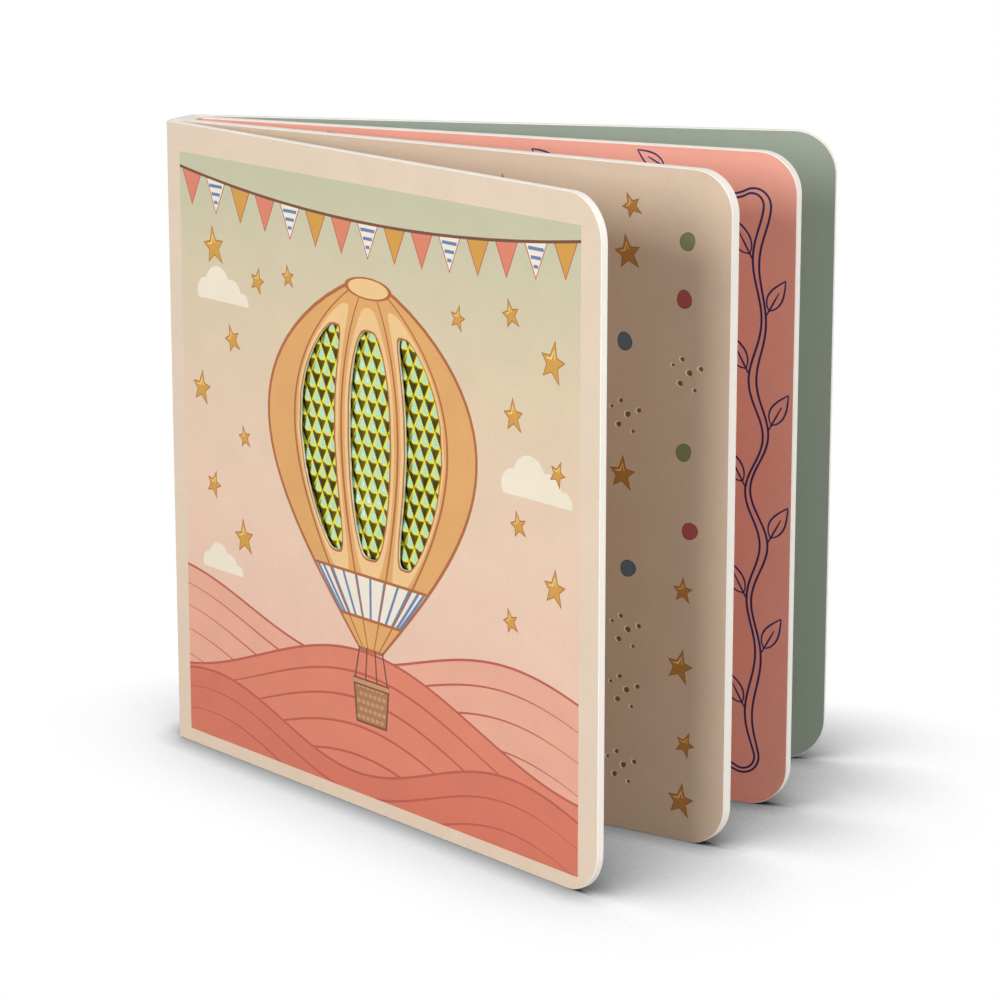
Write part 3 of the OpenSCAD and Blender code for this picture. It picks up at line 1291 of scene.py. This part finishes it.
def pages():
    shell = Shell()
    levels_a = page_levels(leaf_a, ROOT_X, GUTTER_X)
    levels_b = page_levels(leaf_b, GUTTER_X, ROOT_X)
    rings_a = [ring(leaf_a, *level) for level in levels_a]
    rings_b = [ring(leaf_b, *level) for level in levels_b]
    for rings in (rings_a, rings_b):
        for k, ink in enumerate(PAGE_EDGE_INKS):
            shell.strip(rings[k], rings[k + 1], ink)
    for end in (0, -1):
        shell.face([r[end] for r in rings_a[1:5]] + [r[end] for r in rings_b[1:5]], "core")
    gutter = rings_a[:3:-1] + rings_b[1::-1]
    shell.face([r[0] for r in gutter[::-1]] + [r[-1] for r in gutter], "coral_page")
    root = rings_a[:2] + rings_b[4:]
    shell.face([r[0] for r in root] + [r[-1] for r in root[::-1]], "core")
    faces = (
        (leaf_a, levels_a[0], beige_art(leaf_a, PAGE_START, seed=3), "beige"),
        (leaf_a, levels_a[-1], coral_art(leaf_a, PAGE_START), "coral_page"),
        (leaf_b, levels_b[0], coral_art(leaf_b, PAGE_START), "coral_page"),
        (leaf_b, levels_b[-1], sage_art(leaf_b, PAGE_START, seed=4), "sage_page"),
    )
    for board, (depth, inset, start), art, ground in faces:
        print_face(shell, board, depth, edge_path(board, inset, start), art, ground)
    return shell.piece("leaves", "page_block", "page_board", "pages")


pages()

# %% [markdown]
# ## The spine
#
# A strip of the cover's paper is wrapped over the backs of the leaves. Its edges are rounded where
# they dip to the covers' roots, which gives the two creases that a board book folds along. It could be a
# bevelled box, but only two of its edges are round, so its profile is drawn and raised to the head.

# %% Spine
SPINE_CREASE = 0.06
SPINE_ROUND = 0.5
SPINE_STEPS = 8
spine_low, spine_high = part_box("spine")


def spine():
    outer_x = spine_low.x
    inner_x = spine_high.x
    reach = min(abs(place.y) for place in hinges.values()) - (back_cover.back + SPINE_CREASE) * MM
    rounding = SPINE_ROUND * MM
    profile = [(inner_x, -reach)]
    for sign, first in ((-1, -90), (1, 180)):
        for k in range(SPINE_STEPS + 1):
            angle = math.radians(first - 90 * k / SPINE_STEPS)
            profile.append((
                outer_x + rounding + rounding * math.cos(angle),
                sign * (reach - rounding) + rounding * math.sin(angle),
            ))
    profile.append((inner_x, reach))
    shell = Shell()
    foot = [Vector((x, y, spine_low.z)) for x, y in profile]
    head = [Vector((x, y, spine_high.z)) for x, y in profile]
    shell.strip(foot + foot[:1], head + head[:1], "cream")
    shell.face(foot, "cut_white")
    shell.face(head, "cut_white")
    return shell.piece("spine_wrap", "page_block", "cover_card", "spine")


spine()

# %% [markdown]
# ## The foil
#
# The film behind the windows is embossed with lozenges. The CAD sheet has four flat facets on each, while
# pressed film is a little fuller and its ridges are soft. A bump in the material would look flat from the
# side. So the sheet is read back from its CAD node, and each of its steps is split finely and raised. The
# height over the valleys is kept on the mesh, for the colours that follow.

# %% Foil
STEP_PARTS = 6
PILLOW = 1.15
FILM_DIGITS = 2
film = [front_cover.local(v.co) for v in frame["nodes"]["foil_sheet"].data.vertices]
film_us = sorted({round(u, FILM_DIGITS) for u, depth, v in film})
film_vs = sorted({round(v, FILM_DIGITS) for u, depth, v in film})
film_floor = max(depth for u, depth, v in film)
film_peak = min(depth for u, depth, v in film)
film_face = min(depth for u, depth, v in film if u < film_us[0] + TOUCH)
STEPS_U = len(film_us) - 1
STEPS_V = len(film_vs) - 1
print(f"film of {STEPS_U} x {STEPS_V} steps, {film_face - film_peak:.2f} mm of emboss")


def pillow(i, j):
    """Height of the emboss at a place counted in steps: 1 on a peak and 0 in a valley."""
    a, b = i - math.floor(i), j - math.floor(j)
    even = (math.floor(i) + math.floor(j)) % 2 == 0
    flat = abs(1 - a - b) if even else abs(a - b)
    rim = min(i, STEPS_U - i, j, STEPS_V - j, 1)
    return (1 - (1 - flat) ** PILLOW) * rim


# %% [markdown]
# ### The pressed sheet
#
# The sheet is closed as in the CAD model: its top carries the emboss, its underside is flat, and a narrow
# rim joins them. A Solidify modifier would carry the emboss through to the underside, so the faces are laid
# directly.

# %% Pressed sheet
INKS["foil"] = new_finish("foil")[0]


def foil():
    shell = Shell()
    columns, rows = STEPS_U * STEP_PARTS, STEPS_V * STEP_PARTS
    width, height = film_us[-1] - film_us[0], film_vs[-1] - film_vs[0]

    def spot(i, j):
        return film_us[0] + width * i / columns, film_vs[0] + height * j / rows

    def top(i, j):
        u, v = spot(i, j)
        lift = pillow(i / STEP_PARTS, j / STEP_PARTS)
        return front_cover.at(u, film_face + (film_peak - film_face) * lift, v)

    for j in range(rows):
        lower = [top(i, j) for i in range(columns + 1)]
        upper = [top(i, j + 1) for i in range(columns + 1)]
        shell.strip(lower, upper, "foil")
    round_rim = [(i, 0) for i in range(columns)] + [(columns, j) for j in range(rows)]
    round_rim += [(i, rows) for i in range(columns, 0, -1)] + [(0, j) for j in range(rows, 0, -1)]
    under = [front_cover.at(spot(i, j)[0], film_floor, spot(i, j)[1]) for i, j in round_rim]
    over = [top(i, j) for i, j in round_rim]
    shell.strip(over + over[:1], under + under[:1], "foil")
    shell.face(under, "foil")
    return shell.piece("foil_film", "front_cover", "foil", "foil_sheet")


film_piece = foil()
for polygon in film_piece.data.polygons:
    polygon.use_smooth = True
depths = [front_cover.local(v.co)[1] for v in film_piece.data.vertices]
heights = film_piece.data.attributes.new("height", "FLOAT", "POINT")
heights.data.foreach_set("value", [(film_face - depth) / (film_face - film_peak) for depth in depths])

# %% [markdown]
# ### Colours of the foil
#
# Such film throws back a different colour from each side: mint from the upper facets, dark olive from the
# lower ones and yellow out of the valleys. Here these are painted into the base colour: a ramp picks the
# colour by the way a facet leans, so the mint and a white glint are painted reflection and the dark olive is
# painted shade, and the height adds the yellow. Thin-film shading could give such tones, but they would
# change with every lamp. The film is a metal with low roughness, so the lamps still glint on it.

# %% Colours of the foil
# Painted reflection and shade: a white painted glint, then mint and yellow, down to dark olive painted shade
FOIL_PAINTED_REFLECTION_STOPS = (
    (0.0, tone(232, 244, 226)),
    (0.07, tone(158, 222, 206)),
    (0.2, tone(200, 226, 180)),
    (0.36, tone(222, 228, 110)),
    (0.46, tone(246, 228, 36)),
    (0.53, tone(140, 128, 36)),
    (0.75, tone(70, 62, 18)),
    (1.0, tone(28, 20, 8)),
)
VALLEY_YELLOW = tone(246, 236, 36)
VALLEY_SHARE = 0.1
# How far a facet's lean and climb move it along the painted reflection: up-facing facets light, down-facing
# dark
LEAN_SWING = -0.5
CLIMB_SWING = -2.6
# Share of the ramp for a facet that faces straight out, and the noise value that changes nothing
MIDDLE = 0.5
TINT_SIZE = 16 * MM
TINT_DETAIL = 1.0
TINT_SWING = 0.3
HAZE_SIZE = 3 * MM
HAZE_DETAIL = 2.0
FOIL_ROUGHNESS = 0.12
HAZE_ROUGHNESS = 0.14


def dotted(wire, first, second):
    """How far one vector points along another."""
    return wire.node("ShaderNodeVectorMath", {"operation": "DOT_PRODUCT"}, {0: first, 1: second}, "Value")


def foil_finish(material):
    tree = material.node_tree
    wire = Wire(tree)
    shader = tree.nodes["Principled BSDF"]
    place = wire.node("ShaderNodeTexCoord", output="Object")
    facing = wire.node("ShaderNodeTexCoord", output="Normal")
    lean = dotted(wire, facing, front_cover.along)
    climb = dotted(wire, facing, UP)
    tint = speckle(wire, place, TINT_SIZE, TINT_DETAIL)
    haze = speckle(wire, place, HAZE_SIZE, HAZE_DETAIL)
    share = MIDDLE + lean * LEAN_SWING + climb * CLIMB_SWING + (tint - MIDDLE) * TINT_SWING
    # Base colour of painted reflection and shade, picked by the way each facet faces
    painted_reflection = wire.node("ShaderNodeValToRGB", {"stops": FOIL_PAINTED_REFLECTION_STOPS}, {"Fac": share})
    height = wire.node("ShaderNodeAttribute", {"attribute_name": "height"}, {}, "Fac")
    valley = wire.sum("MAXIMUM", 1 - height * (1 / VALLEY_SHARE), 0.0)
    feed(tree, shader.inputs["Base Color"], wire.mixed("MIX", valley, painted_reflection, VALLEY_YELLOW))
    feed(tree, shader.inputs["Roughness"], FOIL_ROUGHNESS + HAZE_ROUGHNESS * haze)
    shader.inputs["Metallic"].default_value = 1.0


foil_finish(INKS["foil"])
print("foil with", len(FOIL_PAINTED_REFLECTION_STOPS), "tones")

# %% [markdown]
# ## Floor
#
# The book stands on a white sweep that is exposed past white in the picture. A floor lit to that white
# would take lamps strong enough to bleach the book. So the camera sees the floor as a white glow that only
# dims where the book shuts out the sky: tightly at the foot, and more widely between the boards. The book
# meets that glow only in its reflections, and the rest of its light finds a plain matt grey.

# %% Floor
FLOOR_HALF = 12.0
FLOOR_GREYS = (tone(196, 196, 196), tone(202, 202, 202))
FLOOR_ROUGHNESS = 0.8
DUST_SIZE = 0.4
DUST_DETAIL = 2.0
DUST_ROUGHNESS = 0.1
SHADE_REACH = 0.056
SHADE_DEPTH = 1.9
SHADE_RAYS = 8
SHADE_FROM = {"X": -0.3, "Y": -0.55, "Z": 0.78}
CONTACT_REACH = 0.01


def looked_at(wire):
    """1 for a ray that shows in the picture, straight or in a reflection, and 0 for one that only lights."""
    straight = wire.node("ShaderNodeLightPath", output="Is Camera Ray")
    mirrored = wire.node("ShaderNodeLightPath", output="Is Glossy Ray")
    return wire.sum("MAXIMUM", straight, mirrored)


floor_mesh = bpy.data.meshes.new("floor")
reach = (-FLOOR_HALF, FLOOR_HALF)
floor_mesh.from_pydata([(x, y, 0) for y in reach for x in reach], [], [(0, 1, 3, 2)])
floor = bpy.data.objects.new("floor", floor_mesh)
bpy.context.scene.collection.objects.link(floor)
material, wire, shader = new_finish("floor_white")
place = wire.node("ShaderNodeTexCoord", output="Object")
dust = speckle(wire, place, DUST_SIZE, DUST_DETAIL)
feed(wire.tree, shader.inputs["Base Color"], wire.mixed("MIX", dust, *FLOOR_GREYS))
feed(wire.tree, shader.inputs["Roughness"], FLOOR_ROUGHNESS + DUST_ROUGHNESS * dust)
matt = Wire(wire.tree, shader.outputs["BSDF"])
slant = wire.node("ShaderNodeCombineXYZ", {}, SHADE_FROM)
rays = {"samples": SHADE_RAYS}
wide = wire.node("ShaderNodeAmbientOcclusion", rays, {"Distance": SHADE_REACH, "Normal": slant}, "AO")
tight = wire.node("ShaderNodeAmbientOcclusion", rays, {"Distance": CONTACT_REACH}, "AO")
glow = wire.node("ShaderNodeEmission", {}, {"Color": wire.sum("POWER", wide, SHADE_DEPTH) * tight})
surface = wire.node("ShaderNodeMixShader", {}, {0: looked_at(wire), 1: matt, 2: glow})
feed(wire.tree, wire.tree.nodes["Material Output"].inputs["Surface"], surface)
floor_mesh.materials.append(material)
print("floor", 2 * FLOOR_HALF, "m wide")

# %% [markdown]
# ## Light
#
# One soft lamp, in front of the book and a little to its left, lights the cover, and the boards shade each
# other's faces below their heads. A panel at the right lights the cut edges, one overhead lights the tops,
# and an even sky fills the shade. One large sky alone would light every page alike, and the pages would
# lose the shade that sets them apart.

# %% Light
SKY_STRENGTH = 0.18
AIM = Vector((0.09, -0.02, 0.09))
LAMP_DISTANCE = 1.5
# Degrees to the left of the book's front, degrees up, size in metres and power in watts
LAMPS = {"key": (11.5, 19, 0.62, 14.5), "fill": (-80, 22, 1.2, 12.0), "top": (0, 90, 1.6, 6.2)}


def lamp(name, left, height, size, power):
    """A square soft lamp that faces the book, turned to the left of its front and raised."""
    left, height = math.radians(left), math.radians(height)
    light = bpy.data.lights.new(name, "AREA")
    light.size = size
    light.energy = power
    made = bpy.data.objects.new(name, light)
    level = math.cos(height)
    towards = Vector((-math.sin(left) * level, -math.cos(left) * level, math.sin(height)))
    made.location = AIM + towards * LAMP_DISTANCE
    made.rotation_euler = towards.to_track_quat("Z", "Y").to_euler()
    bpy.context.scene.collection.objects.link(made)
    return made


for name, values in LAMPS.items():
    lamp(name, *values)
world = bpy.data.worlds.new("studio")
world.use_nodes = True
backdrop = world.node_tree.nodes["Background"]
wire = Wire(world.node_tree)
backdrop.inputs["Color"].default_value = tone(255, 255, 255)
strength = SKY_STRENGTH + looked_at(wire) * (1 - SKY_STRENGTH)
feed(world.node_tree, backdrop.inputs["Strength"], strength)
bpy.context.scene.world = world
bpy.context.scene.view_settings.view_transform = "Standard"
print(len(LAMPS), "lamps, sky", SKY_STRENGTH)

# %% [markdown]
